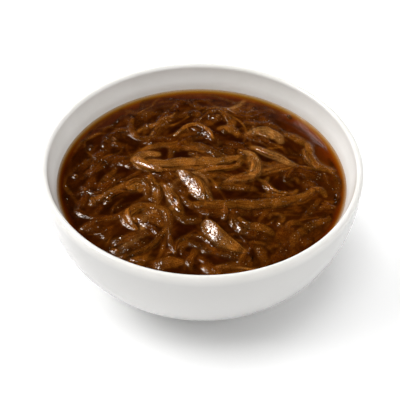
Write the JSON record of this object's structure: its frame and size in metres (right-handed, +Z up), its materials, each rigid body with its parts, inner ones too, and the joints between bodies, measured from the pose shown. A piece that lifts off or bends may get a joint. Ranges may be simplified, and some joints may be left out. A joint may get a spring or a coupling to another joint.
{
  "type": "bowl of french onion soup",
  "caption": "French onion soup in a round white porcelain bowl: dark brown broth with soft, browned onion strands lying in and just above its surface.",
  "frame": {"origin": "middle of the foot ring, on the table", "axes": "+Z up along the axis the bowl was turned on; the seen front of the bowl faces -Y"},
  "size_m": [0.16, 0.16, 0.06],
  "materials": {
    "porcelain": "glossy white glaze",
    "broth": "wet dark brown liquid",
    "cooked_onion": "wet, soft, browned onion"
  },
  "bodies": {
    "root": {"bowl": "porcelain", "broth": "broth", "onions": "cooked_onion"}
  },
  "joints": []
}
